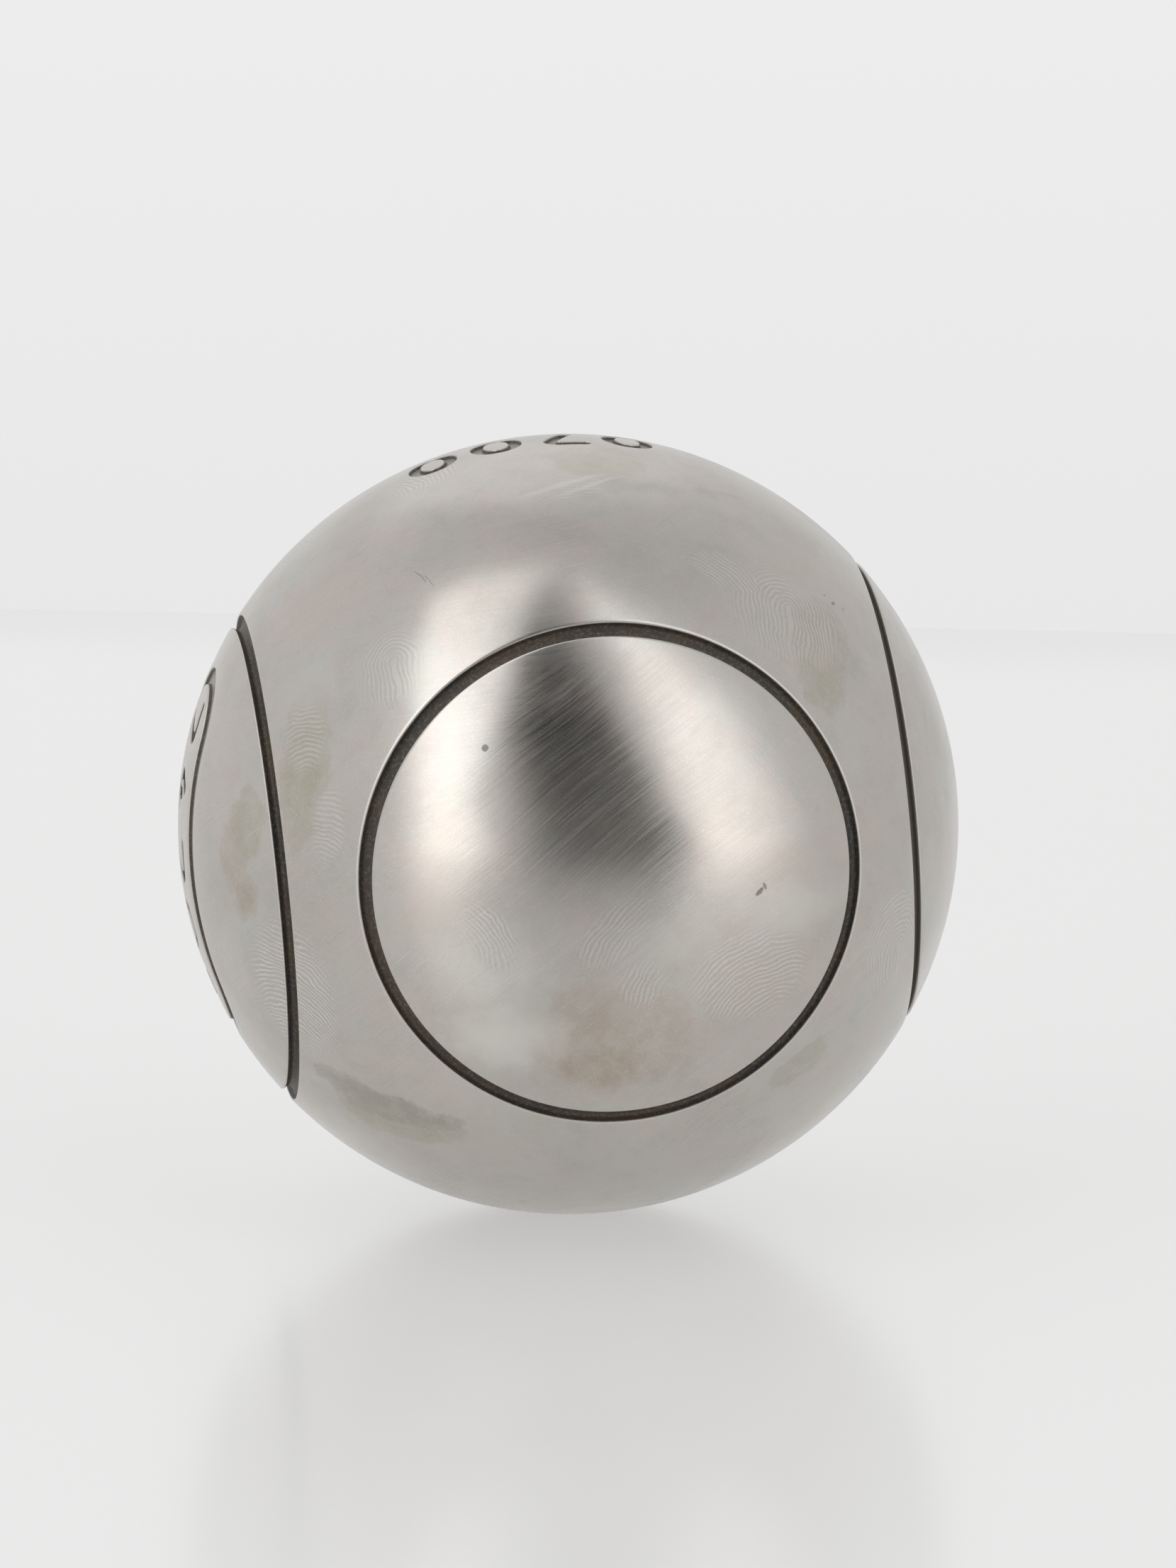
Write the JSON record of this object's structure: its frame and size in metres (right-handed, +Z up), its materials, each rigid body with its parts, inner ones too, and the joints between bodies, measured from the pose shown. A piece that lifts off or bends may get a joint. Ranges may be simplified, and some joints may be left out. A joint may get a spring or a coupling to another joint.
{
  "type": "petanque boule",
  "caption": "Hollow steel throwing ball for petanque, two half shells joined by a weld, with a belt of ring-shaped grooves round it.",
  "frame": {"origin": "centre of the ball", "axes": "+Z up, square to the plane of the weld; the first groove ring is centred on -Y, and the belt of rings leans by 5.1 degrees about Y, its upper pole towards -X"},
  "size_m": [0.074, 0.074, 0.074],
  "materials": {
    "shell_steel": "satin turned steel, worn and fingermarked",
    "weld_metal": "weld metal, turned flush outside and left as laid inside"
  },
  "bodies": {
    "root": {"upper_half_shell": "shell_steel", "lower_half_shell": "shell_steel", "weld_seam": "weld_metal"}
  },
  "joints": []
}
